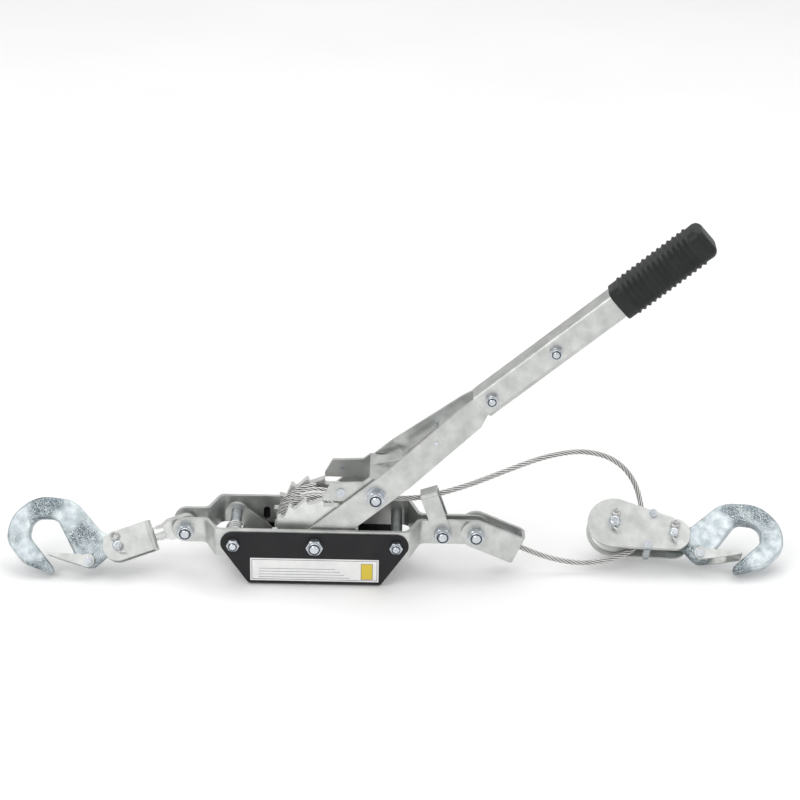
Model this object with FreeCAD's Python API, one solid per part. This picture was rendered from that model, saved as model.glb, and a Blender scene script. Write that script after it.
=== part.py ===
"""Come along winch: a hand-cranked wire rope puller with a double ratchet drum, a pulley block and two hooks.

Millimetres, +X from the anchor hook towards the pulley block, +Y away from the user, +Z up.
The origin is the middle of the guard's flat underside, straight below the main axle.
"""

import FreeCAD, Part
import math
import os
from FreeCAD import Placement, Rotation
from FreeCAD import Vector as V

os.makedirs("parts", exist_ok=True)

# ---------------------------------------------------------------- driving dimensions
CLEAR = 0.06  # radial running clearance
FIT = 0.02  # radial clearance of a part that is held still

# frame
AXLE_Z = 40.0
BOLT_X = 70.0
BAR_T = 3.0
BAR_H = 26.0
TANG_H = 22.5
FRAME_OUT = 32.0  # outer face of the side bars
TANG_OUT = 6.5  # outer face of the tangs at the rope end
ANCHOR_TANG_OUT = 11.0  # outer face of the tangs at the anchor end
JOGGLE_LEFT = (-95.0, -85.0)
JOGGLE_RIGHT = (81.0, 91.0)
JOGGLE_ROUND = 6.0
ANCHOR_X = -112.4
KEEPER_X = 110.0
DEAD_X = 139.0
SLOT_X = -44.0
SLOT_W = 6.0
SLOT_H = 13.0
GUARD_T = 1.5
GUARD_FLAT_X = 56.0
GUARD_EAR_R = 10.8
GUARD_BEND = 4.0
LABEL_X = 55.3
LABEL_Z = (4.6, 26.5)
LABEL_T = 0.3

# fasteners: shank radius, width across flats, hexagon height, collar height
M8 = (4.0, 13.0, 6.0, 2.0)
M6 = (3.0, 10.0, 4.4, 1.6)
BOLT_TIP = 1.2

# drum
TEETH = 16
TIP_R = 38.0
ROOT_R = 33.5
STEEP_ANGLE = 77.5  # a steep tooth face, degrees from +X
# One tooth: radius and share of the pitch at its root, steep face, crown, back and foot.
TOOTH = ((ROOT_R, 0.0), (TIP_R - 1.0, 0.04), (TIP_R, 0.12), (TIP_R - 0.9, 0.26), (ROOT_R, 0.9))
WHEEL_Y = (16.4, 23.4)
LEG_Y = (20.4, 23.4)  # the pawls' legs, over the wheels' outer halves
HUB_R = 14.0
WOUND_R = 35.2
TIE_R = 2.5
TIE_PCD_R = 9.5

# holding pawl
SLEEVE_R = 5.0
PAWL_EYE_R = 10.0
HOLD_LIFT = 6.4

# handle
HANDLE_ANGLE = 41.0
ARM_OUT = 27.0
ARM_T = 2.5
ARM_W = 24.4
ARM_JOINED_OUT = 10.0
ARM_BEND = (97.0, 187.0)
ARM_BEVEL = 5.0  # along the lower edge
ARM_EDGE = 1.2  # along the upper edge
HANDLE_BOLTS = (198.0, 267.0)
HANDLE_BOLT_UP = 1.5
GRIP_START = 333.0
GRIP_END = 426.0
GRIP_W = 32.0
GRIP_D = 30.0
GRIP_CORNER = 9.0
ARM_END = 419.0

# drive pawl, from the main axle, at the handle's rest angle
PIVOT = (51.9, 45.2)
DRIVE_LIFT = 5.6
SPRING_R = 2.2
SPRING_PIN = (102.5, 93.0)
SPRING_Y = 12.0
PAWL_TAIL_Y = (4.0, 19.0)

# rope
ROPE_D = 4.8
KEEPER_LEAN = 19.0
KEEPER_W = 15.0
KEEPER_T = 2.0
KEEPER_RISE = 39.5
ROPE_CLEVIS_DIP = 23.5
ROPE_CLEVIS_W = 26.0
ROPE_CLEVIS_REACH = 41.0
LEAD = [
    (24.0, 0.0, 70.2),
    (56.0, 0.0, 68.6),
    (88.0, 0.3, 69.2),
    (112.0, 2.0, 75.0),
    (138.0, 6.0, 82.8),
    (166.0, 14.5, 91.4),
    (196.0, 27.5, 97.7),
    (227.0, 40.0, 98.3),
    (252.5, 48.0, 89.9),
    (269.5, 51.0, 76.6),
    (280.5, 51.5, 59.8),
]
ROUND_SHEAVE = [(24.6, 24.0), (27.9, -0.5), (19.0, -21.0), (-2.5, -30.5)]  # in the sheave's plane
RETURN = [(240.0, -1.2, 8.9), (220.0, -1.6, 9.9), (201.0, -1.0, 14.2)]
DEAD_END = (48.0, 29.4)  # along the clevis, from its bolt

# anchor end: distances from the anchor bolt along the link
ANCHOR_DIP = 16.3
ANCHOR_YAW = 12.0
ANCHOR_ROLL = 34.0
LINK_T = 6.5
LINK_HOLE_R = 5.15
LINK_H = 18.0
NECK_R = 6.0
SWIVEL_R = 3.4
CLEVIS_WEB = 29.0
ANCHOR_PIN = 62.0
ANCHOR_HOOK_TURN = 26.5

# hooks, from the hook's pin
HOOK_T = 10.0
HOOK_PIN_R = 4.2
HOOK_ROUND = 2.4
LATCH_PIVOT = (23.5, -16.3)
LATCH_RIVET_R = 2.2

# pulley block, from the sheave pin
BLOCK_AT = (260.6, 24.0, 31.0)
BLOCK_DIP = 10.9
BLOCK_ROLL = 54.0
CHEEK_IN = 7.75
CHEEK_T = 3.0
CHEEK_BIG_R = 23.3
CHEEK_SMALL_R = 15.0
BLOCK_PIN_X = 52.4
SHEAVE_R = 20.5
SHEAVE_ROOT = 15.0
SHEAVE_W = 14.4
SHEAVE_PIN_R = 5.0
SPACER_AT = (32.0, 15.5)
SPACER_R = 4.0
BLOCK_HOOK_TURN = 9.4

NEAR, FAR = -1, 1


# ---------------------------------------------------------------- shape helpers
def save(name, *shapes):
    """Writes one node: a solid, or a group of separate solids."""
    solids = [solid for shape in shapes for solid in shape.Solids]
    for solid in solids:
        if not solid.isValid() or solid.Volume <= 0:
            raise ValueError(f"{name} has a broken solid")
    whole = solids[0] if len(solids) == 1 else Part.makeCompound(solids)
    whole.exportStep(f"parts/{name}.step")


def edges_of(points, at):
    """Edges through 2D points. A pair of points stands for an arc: through the first, to the second."""
    last = points[-1][1] if isinstance(points[-1][0], tuple) else points[-1]
    edges = []
    for point in points:
        if isinstance(point[0], tuple):
            middle, end = point
            edges.append(Part.Arc(at(*last), at(*middle), at(*end)).toShape())
        else:
            end = point
            if at(*last).distanceToPoint(at(*end)) > 1e-6:
                edges.append(Part.LineSegment(at(*last), at(*end)).toShape())
        last = end
    return edges


def plate(points, y0, y1):
    """A profile in XZ, from y0 to y1."""
    face = Part.Face(Part.Wire(edges_of(points, lambda x, z: V(x, y0, z))))
    return face.extrude(V(0, y1 - y0, 0))


def rounded(corners, y0, y1):
    """A profile in XZ from y0 to y1, given as corners (x, z, radius) joined by tangent arcs."""
    points = []
    for i, (x, z, radius) in enumerate(corners):
        here = V(x, 0, z)
        back = (V(corners[i - 1][0], 0, corners[i - 1][1]) - here).normalize()
        following = corners[(i + 1) % len(corners)]
        onward = (V(following[0], 0, following[1]) - here).normalize()
        half = back.getAngle(onward) / 2
        reach = radius / math.tan(half)
        first, last = here + back * reach, here + onward * reach
        middle = here + (back + onward).normalize() * (radius / math.sin(half) - radius)
        points.append((first.x, first.z))
        points.append(((middle.x, middle.z), (last.x, last.z)))
    return plate(points, y0, y1)


def slab(points, z0, z1):
    """A profile in XY, from z0 to z1."""
    face = Part.Face(Part.Wire(edges_of(points, lambda x, y: V(x, y, z0))))
    return face.extrude(V(0, 0, z1 - z0))


def bar(points, x0, x1):
    """A profile in YZ, from x0 to x1."""
    face = Part.Face(Part.Wire(edges_of(points, lambda y, z: V(x0, y, z))))
    return face.extrude(V(x1 - x0, 0, 0))


def box(x0, x1, y0, y1, z0, z1):
    return Part.makeBox(x1 - x0, y1 - y0, z1 - z0, V(x0, y0, z0))


def rod(x, z, radius, y0, y1):
    """A cylinder along Y."""
    return Part.makeCylinder(radius, y1 - y0, V(x, y0, z), V(0, 1, 0))


def tube(x, z, outer, inner, y0, y1):
    return rod(x, z, outer, y0, y1).cut(rod(x, z, inner, y0 - 1, y1 + 1))


def fuse(first, *others):
    return first.multiFuse(list(others)).removeSplitter()


def hull(x0, z0, r0, x1, z1, r1, y0, y1):
    """A plate round two circles, with straight tangent sides."""
    span = math.hypot(x1 - x0, z1 - z0)
    along = math.atan2(z1 - z0, x1 - x0)
    lean = math.acos((r0 - r1) / span)
    up, down = along + lean, along - lean

    def on(x, z, radius, angle):
        return (x + radius * math.cos(angle), z + radius * math.sin(angle))

    points = [
        on(x0, z0, r0, down),
        on(x1, z1, r1, down),
        (on(x1, z1, r1, along), on(x1, z1, r1, up)),
        on(x0, z0, r0, up),
        (on(x0, z0, r0, along + math.pi), on(x0, z0, r0, down)),
    ]
    return plate(points, y0, y1)


def turned(shape, degrees, x=0.0, z=0.0):
    """A copy turned about an axis along Y, anticlockwise as seen from the near side."""
    copy = shape.copy()
    copy.rotate(V(x, 0, z), V(0, -1, 0), degrees)
    return copy


def placed(shape, placement):
    copy = shape.copy()
    copy.Placement = placement.multiply(copy.Placement)
    return copy


def strip(points, thickness):
    """The outline of a bent sheet in XY: a polyline, and its mitred copy nearer to y = 0."""
    inner = []
    for i, (x, y) in enumerate(points):
        turns = []
        for a, b in zip(points[max(i - 1, 0) : i + 1], points[max(i, 1) : i + 2]):
            turns.append(math.atan2(b[1] - a[1], b[0] - a[0]))
        middle = sum(turns) / len(turns)
        reach = thickness / math.cos(middle - turns[0])
        inner.append((x + reach * math.sin(middle), y - reach * math.cos(middle)))
    return points + inner[::-1]


def mirrored_y(points):
    return [(x, -y) for x, y in points]


def hexagon(x, z, flats, y0, y1):
    """A hexagonal prism along Y, with its corners chamfered at both ends."""
    corner = flats / math.sqrt(3)
    points = [
        (x + corner * math.cos(math.radians(a)), z + corner * math.sin(math.radians(a)))
        for a in range(0, 360, 60)
    ]
    turning = rod(x, z, corner * 0.995, y0, y1)
    rims = [e for e in turning.Edges if e.Closed and isinstance(e.Curve, Part.Circle)]
    return plate(points, y0, y1).common(turning.makeChamfer((corner - flats / 2) * 0.8, rims))


def bolt(x, z, size, head_y, end_y):
    """A bolt with its head on the far side and its threaded end on the near side."""
    radius, flats, height, _ = size
    shank = rod(x, z, radius, end_y, head_y)
    tip = [e for e in shank.Edges if e.Closed and abs(e.CenterOfMass.y - end_y) < 0.01]
    return fuse(shank.makeChamfer(0.8, tip), hexagon(x, z, flats, head_y, head_y + height * 0.85))


def lock_nut(x, z, size, seat_y):
    """A hexagon lock nut on its seat, facing the near side, with a rolled collar round its insert."""
    radius, flats, height, collar = size
    body = hexagon(x, z, flats, seat_y - height, seat_y)
    rim = rod(x, z, flats * 0.44, seat_y - height - collar, seat_y - height)
    rim_edge = [e for e in rim.Edges if abs(e.CenterOfMass.y - seat_y + height + collar) < 0.01]
    rim = rim.makeFillet(collar * 0.6, [e for e in rim_edge if e.Closed])
    whole = fuse(body, rim).cut(rod(x, z, radius + FIT, seat_y - 20, seat_y + 1))
    top = seat_y - height
    return whole.cut(rod(x, z, radius * 1.25, top - collar - 1, top))


def nut_insert(x, z, size, seat_y):
    radius, _, height, collar = size
    top = seat_y - height
    return tube(x, z, radius * 1.25 - FIT, radius + FIT, top - collar - 0.3, top)


def bolt_end(size, seat_y):
    return seat_y - size[2] - size[3] - BOLT_TIP


def u_bracket(reach, gap, thickness, width, hole, web_hole):
    """A U bracket with its pin hole at the origin and the outside of its web at x = reach."""
    out = gap / 2 + thickness
    bend = thickness + 1.5
    inside = 1.5
    back = -width / 2
    edge = reach - bend
    diagonal = math.sqrt(0.5)
    outer = [
        (back, out),
        (edge, out),
        ((edge + bend * diagonal, out - bend + bend * diagonal), (reach, out - bend)),
        (reach, bend - out),
        ((edge + bend * diagonal, bend - out - bend * diagonal), (edge, -out)),
        (back, -out),
    ]
    inner = [
        (back - 1, out - thickness),
        (edge, out - thickness),
        (
            (edge + inside * diagonal, out - bend + inside * diagonal),
            (edge + inside, out - bend),
        ),
        (edge + inside, bend - out),
        (
            (edge + inside * diagonal, bend - out - inside * diagonal),
            (edge, thickness - out),
        ),
        (back - 1, thickness - out),
    ]
    half = width / 2
    side = [
        (0.0, -half),
        (reach, -half),
        (reach, half),
        (0.0, half),
        ((-half, 0.0), (0.0, -half)),
    ]
    bent = slab(outer, -half, half).cut(slab(inner, -half, half))
    bent = bent.common(plate(side, -out - 1, out + 1))
    bent = bent.cut(rod(0, 0, hole, -out - 1, out + 1))
    return bent.cut(Part.makeCylinder(web_hole, 20, V(reach - 15, 0, 0), V(1, 0, 0)))


def split_pin(x, z, y, half_length, wire=0.9, eye=3.2):
    """A split pin across the end of a pin: a straight leg pair along Z and a round eye above."""
    leg = Part.makeCylinder(wire, 2 * half_length, V(x, y, z - half_length))
    ring = Part.makeTorus(eye, wire, V(x, y, z + half_length + eye - wire), V(0, 1, 0))
    tail = Part.makeCylinder(wire, 5, V(x, y, z - half_length + wire), V(0.9, 0, -0.45))
    return fuse(leg, ring, tail)


def domed_pin(x, z, radius, near_y, far_y, head):
    """A pin along Y with a domed head at the far side, a domed near end and a cross hole for a split pin."""
    shank = rod(x, z, radius, near_y, far_y)
    end = [e for e in shank.Edges if e.Closed and abs(e.CenterOfMass.y - near_y) < 0.01]
    shank = shank.makeFillet(radius * 0.45, end)
    cap = rod(x, z, radius * 1.5, far_y, far_y + head)
    rim = [e for e in cap.Edges if e.Closed and abs(e.CenterOfMass.y - far_y - head) < 0.01]
    cap = cap.makeFillet(head * 0.8, rim)
    hole = Part.makeCylinder(0.95, 40, V(x, near_y + 2.6, z - 20))
    return fuse(shank, cap).cut(hole)


# ---------------------------------------------------------------- frame
def side_bar(side):
    """A flat bar, joggled inwards at both ends to meet its twin over the tangs."""
    left, right = ANCHOR_X - TANG_H / 2, DEAD_X + TANG_H / 2
    outer = [
        (left, ANCHOR_TANG_OUT),
        (JOGGLE_LEFT[0], ANCHOR_TANG_OUT),
        (JOGGLE_LEFT[1], FRAME_OUT),
        (JOGGLE_RIGHT[0], FRAME_OUT),
        (JOGGLE_RIGHT[1], TANG_OUT),
        (right, TANG_OUT),
    ]
    outline = strip(outer, BAR_T)
    if side == NEAR:
        outline = mirrored_y(outline)
    low, high, tang = AXLE_Z - BAR_H / 2, AXLE_Z + BAR_H / 2, TANG_H / 2
    shape = [
        (ANCHOR_X, AXLE_Z - tang),
        (JOGGLE_LEFT[0], AXLE_Z - tang),
        (JOGGLE_LEFT[1] + 2, low),
        (JOGGLE_RIGHT[0] - 2, low),
        (JOGGLE_RIGHT[1], AXLE_Z - tang),
        (DEAD_X, AXLE_Z - tang),
        ((DEAD_X + tang, AXLE_Z), (DEAD_X, AXLE_Z + tang)),
        (JOGGLE_RIGHT[1], AXLE_Z + tang),
        (JOGGLE_RIGHT[0] - 2, high),
        (JOGGLE_LEFT[1] + 2, high),
        (JOGGLE_LEFT[0], AXLE_Z + tang),
        (ANCHOR_X, AXLE_Z + tang),
        ((ANCHOR_X - tang, AXLE_Z), (ANCHOR_X, AXLE_Z - tang)),
    ]
    blank = slab(outline, low - 1, high + 1)
    bends = [
        e
        for e in blank.Edges
        if e.BoundBox.ZLength > BAR_H and JOGGLE_LEFT[0] - 5 < e.BoundBox.XMin < JOGGLE_RIGHT[1] + 5
    ]
    body = blank.makeFillet(JOGGLE_ROUND, bends).common(plate(shape, -40, 40))
    for x in (ANCHOR_X, 0.0, KEEPER_X, DEAD_X):
        body = body.cut(rod(x, AXLE_Z, M8[0] + FIT, -40, 40))
    for x in (-BOLT_X, BOLT_X):
        body = body.cut(rod(x, AXLE_Z, M6[0] + FIT, -40, 40))
    half = (SLOT_H - SLOT_W) / 2
    slot_z = AXLE_Z - 4.0
    slot = hull(SLOT_X, slot_z - half, SLOT_W / 2, SLOT_X, slot_z + half, SLOT_W / 2 - 0.001, -40, 40)
    return body.cut(slot)


def guard():
    """A folded channel round the lower half of the drum, bolted to the outside of both side bars."""
    out = FRAME_OUT + GUARD_T
    top = AXLE_Z + GUARD_EAR_R
    round_out, round_in = GUARD_BEND, GUARD_BEND - GUARD_T
    diagonal = math.sqrt(0.5)

    def channel(half, floor, bend):
        low = floor + bend
        side = half - bend
        return [
            (-half, top),
            (-half, low),
            ((-side - bend * diagonal, low - bend * diagonal), (-side, floor)),
            (side, floor),
            ((side + bend * diagonal, low - bend * diagonal), (half, low)),
            (half, top),
        ]

    reach = BOLT_X + GUARD_EAR_R
    wall = bar(channel(out, 0.0, round_out), -reach, reach)
    inside = channel(FRAME_OUT, GUARD_T, round_in)
    inside[0], inside[-1] = (-FRAME_OUT, top + 1), (FRAME_OUT, top + 1)
    wall = wall.cut(bar(inside, -reach - 1, reach + 1))
    edge = math.radians(25.0)
    ear = (GUARD_EAR_R * math.cos(edge), GUARD_EAR_R * math.sin(edge))
    outline = [
        (-GUARD_FLAT_X, 0.0),
        (GUARD_FLAT_X, 0.0),
        (BOLT_X + ear[0], AXLE_Z - ear[1]),
        (
            (BOLT_X + GUARD_EAR_R * diagonal, AXLE_Z + GUARD_EAR_R * diagonal),
            (BOLT_X, top),
        ),
        (-BOLT_X, top),
        (
            (-BOLT_X - GUARD_EAR_R * diagonal, AXLE_Z + GUARD_EAR_R * diagonal),
            (-BOLT_X - ear[0], AXLE_Z - ear[1]),
        ),
    ]
    body = wall.common(plate(outline, -out - 1, out + 1))
    body = body.cut(rod(0, AXLE_Z, M8[0] + FIT, -40, 40))
    for x in (-BOLT_X, BOLT_X):
        body = body.cut(rod(x, AXLE_Z, M6[0] + FIT, -40, 40))
    return body


def label():
    """A thin blank sticker on the near face of the guard."""
    low, high = LABEL_Z
    points = [(-LABEL_X, low), (LABEL_X, low), (LABEL_X, high), (-LABEL_X, high)]
    y = -FRAME_OUT - GUARD_T
    return plate(points, y - LABEL_T, y)


def make_frame():
    out = FRAME_OUT + GUARD_T
    save("near_side_bar", side_bar(NEAR))
    save("far_side_bar", side_bar(FAR))
    save("guard", guard())
    save("guard_label", label())
    seats = [(0.0, M8, out), (ANCHOR_X, M8, ANCHOR_TANG_OUT), (KEEPER_X, M8, TANG_OUT + 2.4), (DEAD_X, M8, 10.0)]
    bolts = [bolt(x, AXLE_Z, size, seat, bolt_end(size, -seat)) for x, size, seat in seats]
    save("axle_bolt", bolts[0])
    save("tang_bolts", *bolts[1:])
    save("large_lock_nuts", *[lock_nut(x, AXLE_Z, size, -seat) for x, size, seat in seats])
    ends = (-BOLT_X, BOLT_X)
    save("guard_bolts", *[bolt(x, AXLE_Z, M6, out, bolt_end(M6, -out)) for x in ends])
    save("small_lock_nuts", *[lock_nut(x, AXLE_Z, M6, -out) for x in ends])
    inserts = [nut_insert(x, AXLE_Z, size, -seat) for x, size, seat in seats]
    inserts += [nut_insert(x, AXLE_Z, M6, -out) for x in ends]
    save("nut_inserts", *inserts)
    inside = FRAME_OUT - BAR_T
    save("spacer_sleeve", tube(BOLT_X, AXLE_Z, SLEEVE_R, M6[0] + FIT, -inside, inside))
    save("pawl_sleeve", tube(-BOLT_X, AXLE_Z, SLEEVE_R, M6[0] + FIT, -inside, inside))
    washers = []
    for side in (NEAR, FAR):
        for low, high in ((WHEEL_Y[1] + 0.1, ARM_OUT - ARM_T - 0.1), (ARM_OUT + 0.1, inside - 0.1)):
            y0, y1 = sorted((side * low, side * high))
            washers.append(tube(0, AXLE_Z, 9.0, M8[0] + FIT, y0, y1))
    save("axle_washers", *washers)
    coil = tube(-BOLT_X, AXLE_Z, 7.6, 5.4, -18.6, -2.6)
    leg = box(-BOLT_X + 5.6, -BOLT_X + 7.2, -4.2, -2.6, AXLE_Z, AXLE_Z + 16)
    save("pawl_spring", fuse(coil, leg))


# ---------------------------------------------------------------- drum
def polar(radius, degrees):
    angle = math.radians(degrees)
    return (radius * math.cos(angle), AXLE_Z + radius * math.sin(angle))


def ratchet_wheel(side):
    """Sawteeth with their steep faces looking clockwise, as seen from the near side."""
    pitch = 360.0 / TEETH
    points = []
    for tooth in range(TEETH):
        root, face, crown, back, foot = [
            polar(radius, STEEP_ANGLE + pitch * (tooth + share)) for radius, share in TOOTH
        ]
        points += [root, face, (crown, back), foot]
    y0, y1 = sorted((side * WHEEL_Y[0], side * WHEEL_Y[1]))
    wheel = plate(points, y0, y1).cut(rod(0, AXLE_Z, M8[0] + CLEAR, y0 - 1, y1 + 1))
    for x, z in tie_places():
        wheel = wheel.cut(rod(x, z, TIE_R + FIT, y0 - 1, y1 + 1))
    return wheel


def tie_places():
    turns = [math.radians(a) for a in (30, 150, 270)]
    return [(TIE_PCD_R * math.cos(a), AXLE_Z + TIE_PCD_R * math.sin(a)) for a in turns]


def make_drum():
    save("near_ratchet_wheel", ratchet_wheel(NEAR))
    save("far_ratchet_wheel", ratchet_wheel(FAR))
    inside = WHEEL_Y[0]
    hub = tube(0, AXLE_Z, HUB_R, M8[0] + CLEAR, -inside, inside)
    for x, z in tie_places():
        hub = hub.cut(rod(x, z, TIE_R + FIT, -inside - 1, inside + 1))
    save("drum_hub", hub)
    save("drum_ties", *[rod(x, z, TIE_R, -WHEEL_Y[1], WHEEL_Y[1]) for x, z in tie_places()])
    save("wound_rope", tube(0, AXLE_Z, WOUND_R, HUB_R + FIT, 0.1 - inside, inside - 0.1))


# ---------------------------------------------------------------- pawls
def make_holding_pawl():
    """Two legs joined by a bridge under them. The tip stands clear of the teeth at rest."""
    x, z = -BOLT_X, AXLE_Z
    leg = [
        (x, z - PAWL_EYE_R),
        (x + 20.0, z - 22.0),
        (x + 37.2, z - 22.4),
        (x + 39.8, z - 17.8),
        (x + 27.0, z - 6.0),
        (x + 8.6, z + 5.2),
        ((x + 5.0, z + 8.66), (x, z + PAWL_EYE_R)),
        ((x - PAWL_EYE_R, z), (x, z - PAWL_EYE_R)),
    ]
    legs = [plate(leg, *sorted((s * LEG_Y[0], s * LEG_Y[1]))) for s in (NEAR, FAR)]
    bridge = [
        (x + 6.0, z - 13.5),
        (x + 21.5, z - 22.3),
        (x + 23.0, z - 19.7),
        (x + 7.5, z - 10.9),
    ]
    body = fuse(*legs, plate(bridge, -WHEEL_Y[1], WHEEL_Y[1]))
    body = body.cut(rod(x, z, SLEEVE_R + CLEAR, -30, 30))
    save("holding_pawl", turned(body, -HOLD_LIFT, x, z))


def make_drive_pawl():
    """Two legs with hardened tips, joined by a bridge whose tail takes the spring."""
    px, pz = PIVOT[0], AXLE_Z + PIVOT[1]
    leg = [
        (8.0, AXLE_Z + 34.0),
        (41.0, AXLE_Z + 36.8),
        (px, pz - 9.5),
        ((px + 9.5, pz), (px + 9.0, pz + 4.0)),
        (px + 11.5, pz + 11.0),
        (px + 9.5, pz + 14.0),
        (px - 7.0, pz + 15.0),
        (px - 12.5, pz + 9.5),
        (12.8, AXLE_Z + 51.0),
        (7.4, AXLE_Z + 37.9),
    ]
    legs = [plate(leg, *sorted((s * LEG_Y[0], s * LEG_Y[1]))) for s in (NEAR, FAR)]
    web = [
        (px - 7.0, pz + 15.0),
        (px - 7.2, pz + 12.2),
        (px + 9.3, pz + 11.2),
        (px + 9.5, pz + 14.0),
    ]
    bridge = plate(web, -WHEEL_Y[1], WHEEL_Y[1])
    tail = [
        (px - 4.0, pz + 14.6),
        (px + 2.5, pz + 12.0),
        (px + 22.5, pz + 19.6),
        (px + 21.0, pz + 22.0),
        (px + 2.0, pz + 16.2),
    ]
    body = fuse(*legs, bridge, plate(tail, *PAWL_TAIL_Y))
    body = body.cut(rod(px, pz, M8[0] + CLEAR, -30, 30))
    rivets = []
    for side in (NEAR, FAR):
        place = (22.0, AXLE_Z + 43.4)
        y0, y1 = sorted((side * LEG_Y[0], side * LEG_Y[1]))
        body = body.cut(rod(*place, 2.5 + FIT, y0 - 1, y1 + 1))
        head = rod(*place, 3.9, *sorted((side * WHEEL_Y[1], side * (WHEEL_Y[1] + 1.1))))
        rivets.append(fuse(rod(*place, 2.5, y0, y1), head))
    save("drive_pawl", turned(body, -DRIVE_LIFT, px, pz))
    save("drive_pawl_rivets", *[turned(rivet, -DRIVE_LIFT, px, pz) for rivet in rivets])
    start = V(px + 24.0, SPRING_Y, pz + 21.6)
    end = V(SPRING_PIN[0], SPRING_Y, AXLE_Z + SPRING_PIN[1]) - V(3.2, 0, 3.2)
    coil = Part.makeCylinder(SPRING_R, start.distanceToPoint(end), start, end - start)
    save("drive_pawl_spring", coil)


# ---------------------------------------------------------------- handle
def handle_arm(side):
    """A stamped half: flat beside the drum, bent inwards, then a shallow channel with bevelled edges."""
    half = ARM_W / 2
    run = [
        (-half - 1, ARM_OUT),
        (ARM_BEND[0], ARM_OUT),
        (ARM_BEND[1], ARM_JOINED_OUT),
        (ARM_BEND[1] + 6, ARM_JOINED_OUT),
    ]
    outline = strip(run, ARM_T)
    end = ARM_BEND[1] + 6
    foot, top = ARM_BEVEL - half, half - ARM_EDGE
    side_view = [
        (0.0, -half),
        (ARM_BEND[1] - 12, -half),
        (ARM_BEND[1], foot),
        (end, foot),
        (end, top),
        (ARM_BEND[1], top),
        (ARM_BEND[1] - 12, half),
        (0.0, half),
        ((-half, 0.0), (0.0, -half)),
    ]
    flat = slab(outline, -half, half).common(plate(side_view, -40, 40))

    def channel(width, depth, lower, upper, inner):
        return [
            (inner, -width),
            (depth - lower, -width),
            (depth, lower - width),
            (depth, width - upper),
            (depth - upper, width),
            (inner, width),
        ]

    start = ARM_BEND[1] - 1
    joined = bar(channel(half, ARM_JOINED_OUT, ARM_BEVEL, ARM_EDGE, FIT), start, ARM_END)
    hollow = channel(half - ARM_T, ARM_JOINED_OUT - ARM_T, ARM_BEVEL * 0.7, ARM_EDGE / 2, -1.0)
    joined = joined.cut(bar(hollow, start - 1, ARM_END + 1))
    body = fuse(flat, joined)
    body = body.cut(rod(0, 0, M8[0] + CLEAR, -40, 40))
    for x in HANDLE_BOLTS:
        body = body.cut(rod(x, HANDLE_BOLT_UP, M6[0] + FIT, -40, 40))
    place = handle_place(0, 0).inverse()
    pivot = place.multVec(V(PIVOT[0], 0, AXLE_Z + PIVOT[1]))
    body = body.cut(rod(pivot.x, pivot.z, M8[0] + FIT, -40, 40))
    anchor = place.multVec(V(SPRING_PIN[0], 0, AXLE_Z + SPRING_PIN[1]))
    body = body.cut(rod(anchor.x, anchor.z, 2.0 + FIT, -40, 40))
    if side == NEAR:
        body = body.mirror(V(0, 0, 0), V(0, 1, 0))
    return body


def handle_place(x, z):
    """From the handle's own frame, with +X along it from the axle, to the winch at rest."""
    turn = Rotation(V(0, -1, 0), HANDLE_ANGLE)
    return Placement(V(x, 0, AXLE_Z + z), turn)


def grip():
    """A moulded sleeve with rounded corners, closed at its end."""
    w, d, c = GRIP_W / 2, GRIP_D / 2, GRIP_CORNER
    k = c * (1 - math.sqrt(0.5))
    outline = [
        (-d + c, -w),
        (d - c, -w),
        ((d - k, -w + k), (d, -w + c)),
        (d, w - c),
        ((d - k, w - k), (d - c, w)),
        (-d + c, w),
        ((-d + k, w - k), (-d, w - c)),
        (-d, -w + c),
        ((-d + k, -w + k), (-d + c, -w)),
    ]
    body = bar(outline, GRIP_START, GRIP_END)
    rims = [e for e in body.Edges if abs(e.BoundBox.XMin - GRIP_END) < 0.01 and e.BoundBox.XLength < 0.01]
    body = body.makeFillet(5.0, rims)
    half, out = ARM_W / 2 + FIT, ARM_JOINED_OUT + FIT
    return body.cut(box(GRIP_START - 1, ARM_END + 1, -out, out, -half, half))


def make_handle():
    place = handle_place(0, 0)
    save("near_handle_arm", placed(handle_arm(NEAR), place))
    save("far_handle_arm", placed(handle_arm(FAR), place))
    save("grip", placed(grip(), place))
    out = ARM_JOINED_OUT
    up = HANDLE_BOLT_UP
    bolts = [bolt(x, up, M6, out, bolt_end(M6, -out)) for x in HANDLE_BOLTS]
    save("handle_bolts", *[placed(b, place) for b in bolts])
    save("handle_lock_nuts", *[placed(lock_nut(x, up, M6, -out), place) for x in HANDLE_BOLTS])
    inserts = [placed(nut_insert(x, up, M6, -out), place) for x in HANDLE_BOLTS]
    px, pz = PIVOT[0], AXLE_Z + PIVOT[1]
    seat = ARM_OUT + 1.4
    save("pawl_pivot_bolt", bolt(px, pz, M8, seat, bolt_end(M8, -seat)))
    save("pawl_pivot_nut", lock_nut(px, pz, M8, -seat))
    save("handle_nut_inserts", nut_insert(px, pz, M8, -seat), *inserts)
    washers = [tube(px, pz, 8.4, M8[0] + FIT, -seat, -ARM_OUT), tube(px, pz, 8.4, M8[0] + FIT, ARM_OUT, seat)]
    save("pawl_pivot_washers", *washers)
    anchor = handle_place(0, 0).inverse().multVec(V(SPRING_PIN[0], 0, AXLE_Z + SPRING_PIN[1]))
    slope = (ARM_OUT - ARM_JOINED_OUT) / (ARM_BEND[1] - ARM_BEND[0])
    half = ARM_OUT - slope * (anchor.x - ARM_BEND[0]) + 0.4
    save("spring_anchor_pin", rod(SPRING_PIN[0], AXLE_Z + SPRING_PIN[1], 2.0, -half, half))


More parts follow.
